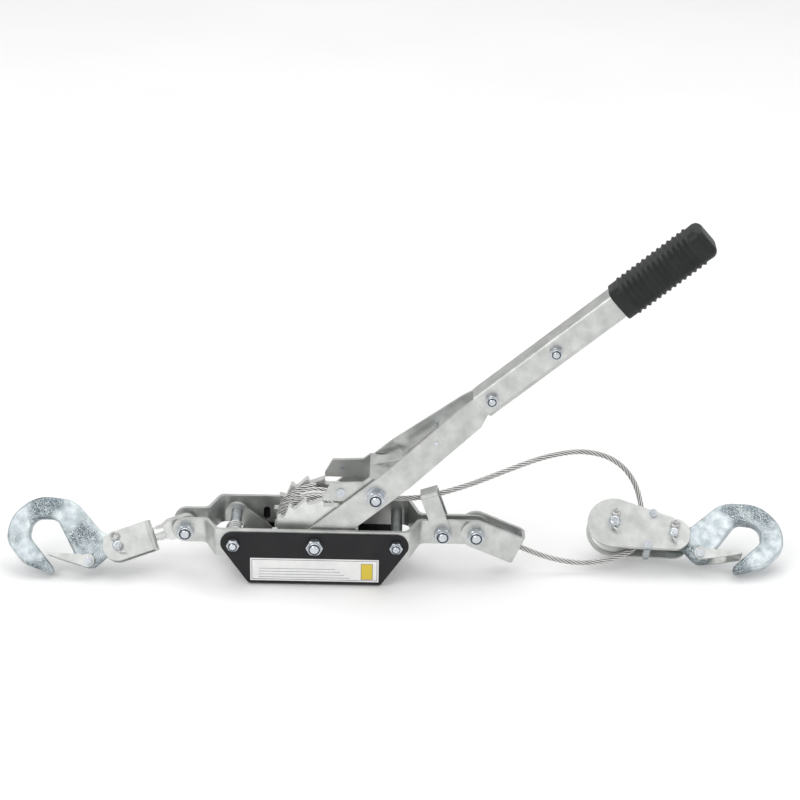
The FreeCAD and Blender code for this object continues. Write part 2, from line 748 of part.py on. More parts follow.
# ---------------------------------------------------------------- rope guide and rope
def make_keeper():
    """An inverted U over the rope, free to lean on its bolt."""
    gap = 2 * (TANG_OUT + 0.2)
    strap = u_bracket(KEEPER_RISE, gap, KEEPER_T, KEEPER_W, M8[0] + CLEAR, 0.001)
    place = Placement(V(KEEPER_X, 0, AXLE_Z), Rotation(V(0, -1, 0), 90 + KEEPER_LEAN))
    save("keeper_strap", placed(strap, place))


def rope_clevis_place():
    return Placement(V(DEAD_X, 0, AXLE_Z), Rotation(V(0, -1, 0), -ROPE_CLEVIS_DIP))


def make_rope_clevis():
    """The U bracket that holds the rope's dead end. A swaged stop bears on the inside of its web."""
    gap = 2 * (TANG_OUT + 0.3)
    bracket = u_bracket(ROPE_CLEVIS_REACH, gap, 3.0, ROPE_CLEVIS_W, M8[0] + CLEAR, ROPE_D / 2 + 0.3)
    inside = ROPE_CLEVIS_REACH - 3.0
    stop = Part.makeCylinder(4.6, 13.0, V(inside - 13.05, 0, 0), V(1, 0, 0))
    stop = stop.makeFillet(1.2, [e for e in stop.Edges if e.Closed])
    stop = stop.cut(Part.makeCylinder(ROPE_D / 2 + FIT, 40, V(0, 0, 0), V(1, 0, 0)))
    place = rope_clevis_place()
    save("rope_clevis", placed(bracket, place))
    save("rope_stop", placed(stop, place))


def rope_route():
    """Points by hand from the drum over to the block, then round its sheave and back to the clevis."""
    block, dead = block_place(False), rope_clevis_place()
    points = [V(*p) for p in LEAD]
    points += [block.multVec(V(x, 0, z)) for x, z in ROUND_SHEAVE]
    points += [V(*p) for p in RETURN]
    return points + [dead.multVec(V(reach, 0, 0)) for reach in DEAD_END]


def rope_path(places):
    """Straight runs joined by tangent arcs, each as large as its two runs allow."""
    edges, here, radii = [], places[0], []
    for before, corner, after in zip(places, places[1:], places[2:]):
        back = (before - corner).normalize()
        onward = (after - corner).normalize()
        turn = math.pi - back.getAngle(onward)
        shorter = min(corner.distanceToPoint(before), corner.distanceToPoint(after))
        reach = 0.45 * shorter
        radius = reach / math.tan(turn / 2)
        radii.append(radius)
        first, last = corner + back * reach, corner + onward * reach
        middle = (back + onward).normalize()
        inset = radius / math.cos(turn / 2) - radius
        edges.append(Part.LineSegment(here, first).toShape())
        edges.append(Part.Arc(first, corner + middle * inset, last).toShape())
        here = last
    edges.append(Part.LineSegment(here, places[-1]).toShape())
    return Part.Wire(edges), radii


def make_rope():
    route = rope_route()
    path, radii = rope_path(route)
    print("rope arc radii:", " ".join(f"{r:.0f}" for r in radii))
    disc = Part.Wire(Part.makeCircle(ROPE_D / 2, route[0], route[1] - route[0]))
    rope = path.makePipeShell([disc], True, False)
    section = math.pi * (ROPE_D / 2) ** 2
    print(f"rope length {path.Length:.1f} mm, volume ratio {rope.Volume / (section * path.Length):.4f}")
    save("free_rope", rope)


# ---------------------------------------------------------------- hooks
# corners and corner radii of a slip hook: pin hole at the origin, bowl towards +X, mouth below
HOOK_OUTLINE = [
    (-10.0, 10.0, 9.0),
    (14.0, 8.6, 14.0),
    (43.0, 35.0, 26.0),
    (76.1, 34.8, 30.0),
    (96.7, 14.2, 30.0),
    (96.7, -8.0, 18.0),
    (80.0, -25.0, 20.0),
    (51.5, -31.8, 3.0),
    (52.5, -25.8, 2.8),
    (76.8, -2.0, 9.0),
    (75.5, 14.2, 10.0),
    (56.0, 16.5, 9.0),
    (29.5, -21.3, 4.5),
    (18.0, -21.3, 5.0),
    (8.0, -10.0, 5.0),
    (-10.0, -10.0, 9.0),
]


def hook():
    half = HOOK_T / 2
    body = rounded(HOOK_OUTLINE, -half, half)
    rims = [e for e in body.Edges if e.BoundBox.YLength < 0.001]
    body = body.makeFillet(HOOK_ROUND, rims)
    body = body.cut(rod(0, 0, HOOK_PIN_R + CLEAR, -half - 1, half + 1))
    return body.cut(rod(*LATCH_PIVOT, LATCH_RIVET_R + FIT, -half - 1, half + 1))


def latch():
    """A sheet latch: two cheeks beside the hook's shank and a tongue that closes the mouth from inside."""
    x, z = LATCH_PIVOT
    inside, out = HOOK_T / 2 + 1.5, HOOK_T / 2 + 2.7
    cheek = [
        (x, z - 5.2),
        (x + 20.0, z - 2.0),
        (x + 35.0, z + 1.2),
        (x + 36.5, z + 1.8),
        (x + 36.7, z + 3.0),
        (x + 4.0, z + 5.2),
        ((x - 5.2, z), (x, z - 5.2)),
    ]
    cheeks = [plate(cheek, *sorted((s * inside, s * out))) for s in (NEAR, FAR)]
    top = [
        (x + 24.0, z + 2.4),
        (x + 36.5, z + 1.6),
        (x + 36.7, z + 3.0),
        (x + 24.0, z + 3.8),
    ]
    tongue = plate(top, -out, out)
    body = fuse(*cheeks, tongue)
    return body.cut(rod(x, z, LATCH_RIVET_R + CLEAR, -out - 1, out + 1))


def latch_rivet():
    x, z = LATCH_PIVOT
    out = HOOK_T / 2 + 2.8
    heads = [rod(x, z, 3.6, out, out + 1.3), rod(x, z, 3.6, -out - 1.3, -out)]
    return fuse(rod(x, z, LATCH_RIVET_R, -out, out), *heads)


def latch_spring():
    x, z = LATCH_PIVOT
    near, far = HOOK_T / 2 + 0.1, HOOK_T / 2 + 1.4
    rings = [tube(x, z, 3.9, LATCH_RIVET_R + 0.3, *sorted((s * near, s * far))) for s in (NEAR, FAR)]
    return Part.makeCompound(rings)


def make_hook(prefix, place):
    save(f"{prefix}_hook", placed(hook(), place))
    save(f"{prefix}_latch", placed(latch(), place))
    save(f"{prefix}_latch_rivet", placed(latch_rivet(), place))
    save(f"{prefix}_latch_spring", *placed(latch_spring(), place).Solids)


# ---------------------------------------------------------------- anchor end
def anchor_places():
    """The link, the swivel clevis, the hook's pin and the hook. Each is drawn pointing along +X."""
    dip = Placement(V(ANCHOR_X, 0, AXLE_Z), Rotation(V(0, -1, 0), ANCHOR_DIP))
    along = dip.multiply(Placement(V(0, 0, 0), Rotation(V(0, 0, 1), 180 + ANCHOR_YAW)))
    swivel = along.multiply(Placement(V(0, 0, 0), Rotation(V(1, 0, 0), ANCHOR_ROLL)))
    at_pin = swivel.multiply(Placement(V(ANCHOR_PIN, 0, 0), Rotation()))
    turn = Placement(V(0, 0, 0), Rotation(V(0, -1, 0), ANCHOR_HOOK_TURN))
    return along, swivel, at_pin, at_pin.multiply(turn)


def make_anchor():
    """Loose link, swivel clevis and hook in a line from the anchor bolt, dipping and skewed to the left."""
    along, swivel, at_pin, at_hook = anchor_places()
    half, top = LINK_T / 2, LINK_H / 2
    flat = [
        (0.0, -top),
        (15.0, -top),
        (21.0, -NECK_R),
        (26.0, -NECK_R),
        (26.0, NECK_R),
        (21.0, NECK_R),
        (15.0, top),
        (0.0, top),
        ((-top, 0.0), (0.0, -top)),
    ]
    eye = plate(flat, -half, half).cut(rod(0, 0, LINK_HOLE_R, -half - 1, half + 1))
    neck = Part.makeCylinder(NECK_R, CLEVIS_WEB - 20.3, V(20.0, 0, 0), V(1, 0, 0))
    stem = Part.makeCylinder(SWIVEL_R, 5.0, V(CLEVIS_WEB - 0.4, 0, 0), V(1, 0, 0))
    head = Part.makeCylinder(SWIVEL_R + 1.4, 3.0, V(CLEVIS_WEB + 4.2, 0, 0), V(1, 0, 0))
    save("anchor_link", placed(fuse(eye, neck, stem, head), along))
    back = Placement(V(ANCHOR_PIN, 0, 0), Rotation(V(0, 0, 1), 180))
    clevis = u_bracket(ANCHOR_PIN - CLEVIS_WEB, 11.2, 3.5, 26.0, HOOK_PIN_R + FIT, SWIVEL_R + CLEAR)
    save("swivel_clevis", placed(clevis, swivel.multiply(back)))
    flip = at_pin.multiply(Placement(V(0, 0, 0), Rotation(V(0, 0, 1), 180)))
    save("anchor_pin", placed(domed_pin(0, 0, HOOK_PIN_R, -15.0, 9.3, 3.0), flip))
    save("anchor_split_pin", placed(split_pin(0, 0, -12.4, 6.4), flip))
    make_hook("anchor", at_hook)


# ---------------------------------------------------------------- pulley block
def sheave():
    root = [
        (SHEAVE_PIN_R + CLEAR, -SHEAVE_W / 2),
        (SHEAVE_R, -SHEAVE_W / 2),
        (SHEAVE_R, -SHEAVE_W / 2 + 2.2),
        (SHEAVE_ROOT + 1.4, -2.2),
        ((SHEAVE_ROOT, 0.0), (SHEAVE_ROOT + 1.4, 2.2)),
        (SHEAVE_R, SHEAVE_W / 2 - 2.2),
        (SHEAVE_R, SHEAVE_W / 2),
        (SHEAVE_PIN_R + CLEAR, SHEAVE_W / 2),
    ]
    face = Part.Face(Part.Wire(edges_of(root, lambda r, y: V(r, y, 0))))
    return face.revolve(V(0, 0, 0), V(0, 1, 0), 360)


def block_place(dipped=True):
    rolled = Placement(V(*BLOCK_AT), Rotation(V(1, 0, 0), -BLOCK_ROLL))
    if not dipped:
        return rolled
    return rolled.multiply(Placement(V(0, 0, 0), Rotation(V(0, -1, 0), -BLOCK_DIP)))


def block_hook_place():
    turn = Rotation(V(0, -1, 0), BLOCK_HOOK_TURN)
    return block_place().multiply(Placement(V(BLOCK_PIN_X, 0, 0), turn))


def make_block():
    """Two cheek plates on a sheave pin and two spacers, with the load hook between their small ends."""
    place = block_place()
    out = CHEEK_IN + CHEEK_T
    spacers = [(SPACER_AT[0], SPACER_AT[1]), (SPACER_AT[0], -SPACER_AT[1])]
    for name, side in (("near_cheek", NEAR), ("far_cheek", FAR)):
        y0, y1 = sorted((side * CHEEK_IN, side * out))
        cheek = hull(0, 0, CHEEK_BIG_R, BLOCK_PIN_X, 0, CHEEK_SMALL_R, y0, y1)
        outer = [e for e in cheek.Edges if abs(e.CenterOfMass.y - side * out) < 0.01 and e.BoundBox.YLength < 0.01]
        cheek = cheek.makeFillet(0.7, outer)
        cheek = cheek.cut(rod(0, 0, SHEAVE_PIN_R + FIT, y0 - 1, y1 + 1))
        cheek = cheek.cut(rod(BLOCK_PIN_X, 0, HOOK_PIN_R + FIT, y0 - 1, y1 + 1))
        for x, z in spacers:
            cheek = cheek.cut(rod(x, z, 2.6, y0 - 1, y1 + 1))
        save(name, placed(cheek, place))
    save("sheave", placed(sheave(), place))
    save("sheave_pin", placed(domed_pin(0, 0, SHEAVE_PIN_R, -out - 5.5, out + 0.1, 3.2), place))
    pin = domed_pin(BLOCK_PIN_X, 0, HOOK_PIN_R, -out - 5.5, out + 0.1, 3.0)
    save("block_hook_pin", placed(pin, place))
    near_end = -out - 5.5 + 2.6
    pins = [split_pin(0, 0, near_end, 7.0), split_pin(BLOCK_PIN_X, 0, near_end, 6.4)]
    save("block_split_pins", *[placed(p, place) for p in pins])
    rivets = []
    for x, z in spacers:
        body = rod(x, z, SPACER_R, -CHEEK_IN, CHEEK_IN)
        stem = rod(x, z, 2.6 - FIT, -out - 0.05, out + 0.05)
        heads = [rod(x, z, 3.8, out + 0.02, out + 1.5), rod(x, z, 3.8, -out - 1.5, -out - 0.02)]
        rivets.append(fuse(body, stem, *heads))
    save("block_spacers", *[placed(r, place) for r in rivets])
    make_hook("block", block_hook_place())


make_frame()
make_drum()
make_holding_pawl()
make_drive_pawl()
make_handle()
make_keeper()
make_rope_clevis()
make_rope()
make_anchor()
make_block()
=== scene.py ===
import math

import bpy
from mathutils import Matrix, Vector


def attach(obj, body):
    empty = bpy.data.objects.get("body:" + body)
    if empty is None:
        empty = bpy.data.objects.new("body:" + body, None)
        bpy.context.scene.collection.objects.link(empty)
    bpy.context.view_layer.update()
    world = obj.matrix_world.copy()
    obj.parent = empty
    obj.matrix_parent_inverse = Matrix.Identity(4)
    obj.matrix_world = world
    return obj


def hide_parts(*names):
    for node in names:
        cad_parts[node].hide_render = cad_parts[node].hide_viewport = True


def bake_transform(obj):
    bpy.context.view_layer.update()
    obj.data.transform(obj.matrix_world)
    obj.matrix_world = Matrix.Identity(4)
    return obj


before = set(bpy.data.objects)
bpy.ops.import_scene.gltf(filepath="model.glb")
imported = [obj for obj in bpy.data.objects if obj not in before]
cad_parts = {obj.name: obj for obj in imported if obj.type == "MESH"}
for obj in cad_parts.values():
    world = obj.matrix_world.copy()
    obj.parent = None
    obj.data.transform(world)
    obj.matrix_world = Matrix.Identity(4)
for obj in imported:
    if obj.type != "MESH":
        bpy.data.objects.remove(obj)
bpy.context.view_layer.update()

# ---------------------------------------------------------------- camera
ELEVATION = math.radians(26.5)
ROLL = math.radians(1.1)
TARGET = Vector((0.0709, 0.0, 0.1640))
DISTANCE = 2.2034
FOCAL_LENGTH, SENSOR_WIDTH = 117.0, 36.0  # millimetres

forward = Vector((0, math.cos(ELEVATION), -math.sin(ELEVATION)))
up = Vector((0, math.sin(ELEVATION), math.cos(ELEVATION)))
right = Vector((1, 0, 0))
image_right = right * math.cos(ROLL) + up * math.sin(ROLL)
image_up = up * math.cos(ROLL) - right * math.sin(ROLL)
lens = bpy.data.cameras.new("camera")
lens.lens = FOCAL_LENGTH
lens.sensor_width = SENSOR_WIDTH
camera = bpy.data.objects.new("camera", lens)
place = Matrix((image_right, image_up, -forward)).transposed().to_4x4()
place.translation = TARGET - forward * DISTANCE
camera.matrix_world = place
bpy.context.scene.collection.objects.link(camera)
bpy.context.scene.camera = camera
bpy.context.scene.view_settings.view_transform = "Standard"

# ---------------------------------------------------------------- the rope's route
AXLE_Z = 0.040
ROPE_D = 0.0048
ROPE_LAY = 0.030  # along the rope, one full turn of a strand
ROPE_STEP = 0.0012  # between the points along a rope's line
DEAD_X = 0.139  # the rope clevis bolt
BLOCK_AT = Vector((0.2606, 0.024, 0.031))
BLOCK_ROLL = math.radians(54.0)
CLEVIS_DIP = math.radians(23.5)

LEAD = [
    (0.0240, 0.0000, 0.0702),
    (0.0560, 0.0000, 0.0686),
    (0.0880, 0.0003, 0.0692),
    (0.1120, 0.0020, 0.0750),
    (0.1380, 0.0060, 0.0828),
    (0.1660, 0.0145, 0.0914),
    (0.1960, 0.0275, 0.0977),
    (0.2270, 0.0400, 0.0983),
    (0.2525, 0.0480, 0.0899),
    (0.2695, 0.0510, 0.0766),
    (0.2805, 0.0515, 0.0598),
]
ROUND_SHEAVE = [(0.0246, 0.0240), (0.0279, -0.0005), (0.0190, -0.0210), (-0.0025, -0.0305)]
RETURN = [(0.2400, -0.0012, 0.0089), (0.2200, -0.0016, 0.0099), (0.2010, -0.0010, 0.0142)]
DEAD_END = (0.0480, 0.0294)  # from the clevis bolt, along the clevis


def rope_route():
    """From the drum's top, round the pulley block's sheave and back into the rope clevis."""
    tilt = Vector((0, math.sin(BLOCK_ROLL), math.cos(BLOCK_ROLL)))
    along = Vector((math.cos(CLEVIS_DIP), 0, -math.sin(CLEVIS_DIP)))
    points = [Vector(p) for p in LEAD]
    points += [BLOCK_AT + Vector((x, 0, 0)) + tilt * z for x, z in ROUND_SHEAVE]
    points += [Vector(p) for p in RETURN]
    bolt = Vector((DEAD_X, 0, AXLE_Z))
    return points + [bolt + along * reach for reach in DEAD_END]


def smooth_line(points):
    """A NURBS curve led by the points, read back as a polyline."""
    curve = bpy.data.curves.new("route", "CURVE")
    curve.dimensions = "3D"
    spline = curve.splines.new("NURBS")
    spline.points.add(len(points) - 1)
    for target, point in zip(spline.points, points):
        target.co = (*point, 1.0)
    spline.order_u = 3
    spline.use_endpoint_u = True
    spline.resolution_u = 24
    holder = bpy.data.objects.new("route", curve)
    mesh = bpy.data.meshes.new_from_object(holder)
    line = [v.co.copy() for v in mesh.vertices]
    bpy.data.objects.remove(holder)
    bpy.data.curves.remove(curve)
    bpy.data.meshes.remove(mesh)
    return line


def even(line, step):
    """The same line, with points at an even spacing."""
    total = sum((b - a).length for a, b in zip(line, line[1:]))
    count = max(2, round(total / step))
    spacing = total / count
    out, travelled, wanted = [line[0].copy()], 0.0, spacing
    for a, b in zip(line, line[1:]):
        run = (b - a).length
        while run > 0 and travelled + run >= wanted - 1e-9 and len(out) < count:
            out.append(a.lerp(b, (wanted - travelled) / run))
            wanted += spacing
        travelled += run
    out.append(line[-1].copy())
    return out, total


# ---------------------------------------------------------------- mesh helpers
COIL_STEPS = 18  # in one turn of a spring


def link(name, mesh):
    obj = bpy.data.objects.new(name, mesh)
    bpy.context.scene.collection.objects.link(obj)
    return obj


class Sweep:
    """Collects tubes swept along lines into one mesh, with u round each tube and v along it."""

    def __init__(self):
        self.points, self.faces, self.uvs = [], [], []

    def add(self, rings, lengths):
        first, sides = len(self.points), len(rings[0])
        for ring in rings:
            self.points += [tuple(p) for p in ring]
        for i in range(len(rings) - 1):
            for k in range(sides):
                n = (k + 1) % sides
                a, b = first + i * sides, first + (i + 1) * sides
                self.faces.append((a + k, a + n, b + n, b + k))
                u0, u1, v0, v1 = k / sides, (k + 1) / sides, lengths[i], lengths[i + 1]
                self.uvs += [(u0, v0), (u1, v0), (u1, v1), (u0, v1)]
        for start, order in ((first, -1), (first + (len(rings) - 1) * sides, 1)):
            self.faces.append(tuple(range(start, start + sides))[::order])
            self.uvs += [(0.5, 0.5)] * sides

    def tube(self, line, radius, sides):
        travelled = distances(line)
        rings = [ring(p, n, b, radius, sides) for p, (_, n, b) in zip(line, carried(line))]
        self.add(rings, travelled)

    def rope(self, line, phase=0.0, sides=8, part=slice(None)):
        """Six strands round a core, laid right-handed, along the given part of the line."""
        travelled = distances(line)[part]
        axes = carried(line)[part]
        line = line[part]
        for strand in range(6):
            rings = []
            for p, (t, n, b), s in zip(line, axes, travelled):
                angle = phase + math.tau * (strand / 6 + s / ROPE_LAY)
                out = n * math.cos(angle) + b * math.sin(angle)
                side = t.cross(out)
                rings.append(ring(p + out * ROPE_D / 3, out, side, ROPE_D / 6, sides))
            self.add(rings, travelled)
        self.tube(line, ROPE_D / 5.2, 6)

    def build(self, name, material):
        mesh = bpy.data.meshes.new(name)
        mesh.from_pydata(self.points, [], self.faces)
        layer = mesh.uv_layers.new(name="UVMap")
        layer.data.foreach_set("uv", [value for uv in self.uvs for value in uv])
        mesh.polygons.foreach_set("use_smooth", [True] * len(mesh.polygons))
        mesh.materials.append(material)
        mesh.update()
        return link(name, mesh)


def ring(centre, n, b, radius, sides):
    turns = [math.tau * k / sides for k in range(sides)]
    return [centre + (n * math.cos(a) + b * math.sin(a)) * radius for a in turns]


def distances(line):
    out = [0.0]
    for a, b in zip(line, line[1:]):
        out.append(out[-1] + (b - a).length)
    return out


def carried(line):
    """At each point the heading and two sideways directions that don't spin."""
    headings = []
    for i in range(len(line)):
        headings.append((line[min(i + 1, len(line) - 1)] - line[max(i - 1, 0)]).normalized())
    normal = headings[0].orthogonal().normalized()
    out = []
    for i, heading in enumerate(headings):
        if i:
            normal = headings[i - 1].rotation_difference(heading) @ normal
        normal = (normal - heading * normal.dot(heading)).normalized()
        out.append((heading, normal, heading.cross(normal)))
    return out


def helix(start, end, radius, turns):
    """A coil's centreline about the line from start to end."""
    axis = (end - start).normalized()
    n = axis.orthogonal().normalized()
    b = axis.cross(n)
    count = round(turns * COIL_STEPS)
    line = []
    for i in range(count + 1):
        a = math.tau * turns * i / count
        line.append(start.lerp(end, i / count) + (n * math.cos(a) + b * math.sin(a)) * radius)
    return line


# ---------------------------------------------------------------- materials
GRAIN_HEIGHT, FILM_HEIGHT = 0.0004, 0.0002
SKIN_DARK, SKIN_LIGHT = (0.42, 0.48, 0.51), (0.72, 0.78, 0.80)
SCALE_COLOUR = (0.10, 0.13, 0.145)
# ROPE_DARK is mostly painted shade in the valleys between the strands, and ROPE_LIGHT is the
# strands' crowns.
ROPE_DARK, ROPE_LIGHT = (0.075, 0.075, 0.07), (0.80, 0.80, 0.78)
LABEL_SIDE, LABEL_FOOT, LABEL_TOP = 0.0553, 0.0046, 0.0265
LABEL_INSET, BORDER = 0.0012, 0.00045
RULES, RULE_PITCH, RULE_THICK = 4, 0.0028, 0.0006
INK, RULE_GREY, AMBER = (0.10, 0.10, 0.14), (0.34, 0.34, 0.38), (0.72, 0.55, 0.05)


def shader(name):
    material = bpy.data.materials.new(name)
    material.use_nodes = True
    nodes, links = material.node_tree.nodes, material.node_tree.links
    return material, nodes, links, nodes["Principled BSDF"]


def noise(nodes, links, where, scale, detail=4.0, rough=0.55):
    texture = nodes.new("ShaderNodeTexNoise")
    texture.inputs["Scale"].default_value = scale
    texture.inputs["Detail"].default_value = detail
    texture.inputs["Roughness"].default_value = rough
    links.new(where.outputs["Object"], texture.inputs["Vector"])
    return texture


def maths(nodes, links, kind, *values):
    """A maths node's result. Each value is a number or another node's output."""
    node = nodes.new("ShaderNodeMath")
    node.operation = kind
    for place, value in enumerate(values):
        if isinstance(value, float):
            node.inputs[place].default_value = value
        else:
            links.new(value, node.inputs[place])
    return node.outputs[0]


def ramp(nodes, links, source, low, high, start=0.3, end=0.7):
    """Maps a value to a range of colours, or of greys where low and high are numbers."""
    low, high = [(tone,) * 3 if isinstance(tone, float) else tone for tone in (low, high)]
    mapped = nodes.new("ShaderNodeValToRGB")
    mapped.color_ramp.elements[0].position = start
    mapped.color_ramp.elements[1].position = end
    mapped.color_ramp.elements[0].color = (*low, 1)
    mapped.color_ramp.elements[1].color = (*high, 1)
    links.new(source, mapped.inputs["Fac"])
    return mapped.outputs["Color"]


def mix_colours(nodes, links, factor, first, second, kind="MIX"):
    """Two colours mixed. Each is a colour or another node's output."""
    mixed = nodes.new("ShaderNodeMix")
    mixed.data_type = "RGBA"
    mixed.blend_type = kind
    for place, value in (("Factor", factor), ("A", first), ("B", second)):
        if isinstance(value, (float, tuple)):
            mixed.inputs[place].default_value = (*value, 1) if place != "Factor" else value
        else:
            links.new(value, mixed.inputs[place])
    return mixed.outputs["Result"]


def relief(nodes, links, bsdf, source, strength, distance, round_off=0.0):
    """Raises the surface by a texture, over edges softened by round_off."""
    height = nodes.new("ShaderNodeBump")
    height.inputs["Strength"].default_value = strength
    height.inputs["Distance"].default_value = distance
    links.new(source, height.inputs["Height"])
    if round_off:
        bevel = nodes.new("ShaderNodeBevel")
        bevel.samples = 4
        bevel.inputs["Radius"].default_value = round_off
        links.new(bevel.outputs["Normal"], height.inputs["Normal"])
    links.new(height.outputs["Normal"], bsdf.inputs["Normal"])


def surface(name, dark, light, metallic, rough, bump, grain=900.0, blotch=55.0, round_off=0.0003):
    """A worn, mottled surface: blotches in colour, a fine grain in roughness and height."""
    material, nodes, links, bsdf = shader(name)
    where = nodes.new("ShaderNodeTexCoord")
    blotches = noise(nodes, links, where, blotch)
    fine = noise(nodes, links, where, grain, 6.0, 0.65)
    colour = ramp(nodes, links, blotches.outputs["Fac"], dark, light)
    links.new(colour, bsdf.inputs["Base Color"])
    links.new(ramp(nodes, links, fine.outputs["Fac"], *rough), bsdf.inputs["Roughness"])
    bsdf.inputs["Metallic"].default_value = metallic
    relief(nodes, links, bsdf, fine.outputs["Fac"], bump, GRAIN_HEIGHT, round_off)
    return material


def forged_material():
    """Forged and zinc dipped: bright skin with patches of dark scale showing as fine speckle."""
    material, nodes, links, bsdf = shader("forged_steel")
    where = nodes.new("ShaderNodeTexCoord")
    patches = noise(nodes, links, where, 36.0, 2.0)
    speckle = noise(nodes, links, where, 1000.0, 5.0, 0.7)
    streaks = noise(nodes, links, where, 130.0, 3.0)
    skin = ramp(nodes, links, streaks.outputs["Fac"], SKIN_DARK, SKIN_LIGHT, 0.32, 0.68)
    covered = ramp(nodes, links, patches.outputs["Fac"], 0.0, 1.0, 0.43, 0.60)
    pits = ramp(nodes, links, speckle.outputs["Fac"], 0.0, 1.0, 0.40, 0.54)
    scaled = mix_colours(nodes, links, 1.0, covered, pits, "MULTIPLY")
    colour = mix_colours(nodes, links, scaled, skin, SCALE_COLOUR)
    links.new(colour, bsdf.inputs["Base Color"])
    links.new(ramp(nodes, links, speckle.outputs["Fac"], 0.24, 0.46), bsdf.inputs["Roughness"])
    bsdf.inputs["Metallic"].default_value = 0.95
    relief(nodes, links, bsdf, speckle.outputs["Fac"], 0.8, GRAIN_HEIGHT, 0.001)
    return material


def rope_material():
    """Drawn wires along each strand, with painted shade darkening the valleys between the strands.
    """
    material, nodes, links, bsdf = shader("wire_rope")
    where = nodes.new("ShaderNodeTexCoord")
    split = nodes.new("ShaderNodeSeparateXYZ")
    links.new(where.outputs["UV"], split.inputs["Vector"])

    def calc(kind, *values):
        return maths(nodes, links, kind, *values)

    # U runs round a strand and starts at its crown, V runs along the rope in metres.
    # Painted shade: each strand is lighter on its crown and darker towards the valleys, where its
    # neighbours would shade it.
    outward = calc("COSINE", calc("MULTIPLY", split.outputs["X"], math.tau))
    painted_valley_shade = calc("MULTIPLY_ADD", outward, 0.5, 0.5)
    slant = calc("MULTIPLY_ADD", split.outputs["Y"], 140.0, split.outputs["X"])
    wires = calc("SINE", calc("MULTIPLY", slant, math.tau * 7))
    mottle = noise(nodes, links, where, 260.0)
    shade = calc("MULTIPLY", painted_valley_shade, calc("MULTIPLY_ADD", wires, 0.14, 0.86))
    shade = calc("MULTIPLY", shade, calc("MULTIPLY_ADD", mottle.outputs["Fac"], 0.5, 0.75))
    colour = ramp(nodes, links, shade, ROPE_DARK, ROPE_LIGHT, 0.36, 0.86)
    links.new(colour, bsdf.inputs["Base Color"])
    links.new(ramp(nodes, links, mottle.outputs["Fac"], 0.34, 0.55), bsdf.inputs["Roughness"])
    bsdf.inputs["Metallic"].default_value = 0.7
    relief(nodes, links, bsdf, shade, 0.6, FILM_HEIGHT)
    return material


def between(nodes, links, value, low, high):
    """1 where low < value < high."""
    above = maths(nodes, links, "GREATER_THAN", value, low)
    below = maths(nodes, links, "LESS_THAN", value, high)
    return maths(nodes, links, "MULTIPLY", above, below)


def label_material():
    """White film with a thin border, plain grey rules and a plain amber panel. No lettering."""
    material, nodes, links, bsdf = shader("label")
    where = nodes.new("ShaderNodeTexCoord")
    split = nodes.new("ShaderNodeSeparateXYZ")
    links.new(where.outputs["Object"], split.inputs["Vector"])
    x, z = split.outputs["X"], split.outputs["Z"]
    fade = noise(nodes, links, where, 120.0)
    current = ramp(nodes, links, fade.outputs["Fac"], (0.80, 0.80, 0.80), (0.88, 0.88, 0.87))

    def patch(x0, x1, z0, z1, colour):
        nonlocal current
        along = between(nodes, links, x, x0, x1)
        upward = between(nodes, links, z, z0, z1)
        mask = maths(nodes, links, "MULTIPLY", along, upward)
        current = mix_colours(nodes, links, mask, current, colour)

    # The border, the rules, then the panel and its outline.
    side, top, foot = LABEL_SIDE - LABEL_INSET, LABEL_TOP - LABEL_INSET, LABEL_FOOT + LABEL_INSET
    patch(-side, side, top - BORDER, top, INK)
    patch(-side, side, foot, foot + BORDER, INK)
    patch(-side, -side + BORDER, foot, top, INK)
    patch(side - BORDER, side, foot, top, INK)
    for row in range(RULES):
        low = 0.0078 + row * RULE_PITCH
        patch(-0.048, 0.030 - 0.004 * row, low, low + RULE_THICK, RULE_GREY)
    patch(0.0400, 0.0502, 0.0068, 0.0226, INK)
    patch(0.0404, 0.0498, 0.0072, 0.0222, AMBER)
    links.new(current, bsdf.inputs["Base Color"])
    links.new(ramp(nodes, links, fade.outputs["Fac"], 0.35, 0.5), bsdf.inputs["Roughness"])
    relief(nodes, links, bsdf, fade.outputs["Fac"], 0.08, FILM_HEIGHT)
    return material


# Each: dark and light colour, metallic, range of roughness, bump, then grain, blotches and edges.
ZINC = surface(
    "zinc_plate", (0.50, 0.515, 0.50), (0.68, 0.69, 0.67), 0.85, (0.28, 0.44), 0.25, 1100.0, 85.0
)
BRIGHT = surface(
    "bright_zinc", (0.48, 0.52, 0.56), (0.70, 0.73, 0.76), 0.95, (0.20, 0.32), 0.04, 1200.0, 120.0
)
# A darker copy of the zinc plate for the spacer sleeve: painted shade, as if the sleeve sat in
# shade and reflected dark surroundings.
PAINTED_SHADE_ZINC = surface(
    "painted_shade_zinc", (0.17, 0.185, 0.185), (0.29, 0.31, 0.305), 0.9, (0.26, 0.38), 0.04, 1200.0, 120.0
)
WHEEL = surface(
    "wheel_steel", (0.64, 0.655, 0.64), (0.82, 0.83, 0.81), 0.85, (0.30, 0.46), 0.25, 1100.0, 85.0
)
FORGED = forged_material()
BLACK = surface(
    "black_paint",
    (0.007, 0.007, 0.009),
    (0.014, 0.014, 0.016),
    0.0,
    (0.34, 0.46),
    0.10,
    700.0,
    40.0,
    0.0004,
)
NYLON = surface("nylon", (0.006, 0.010, 0.026), (0.016, 0.026, 0.060), 0.0, (0.35, 0.5), 0.08)
WIRE = surface(
    "spring_steel",
    (0.46, 0.46, 0.46),
    (0.66, 0.66, 0.66),
    0.95,
    (0.2, 0.34),
    0.05,
    1400.0,
    100.0,
    0.0,
)
GRIP = surface(
    "grip_plastic",
    (0.009, 0.011, 0.010),
    (0.020, 0.023, 0.022),
    0.0,
    (0.34, 0.48),
    0.12,
    800.0,
    60.0,
    0.0,
)
DULL_SPECULAR = 0.3
for dull in (BLACK, GRIP, NYLON):
    shine = dull.node_tree.nodes["Principled BSDF"].inputs["Specular IOR Level"]
    shine.default_value = DULL_SPECULAR
ROPE = rope_material()
LABEL = label_material()

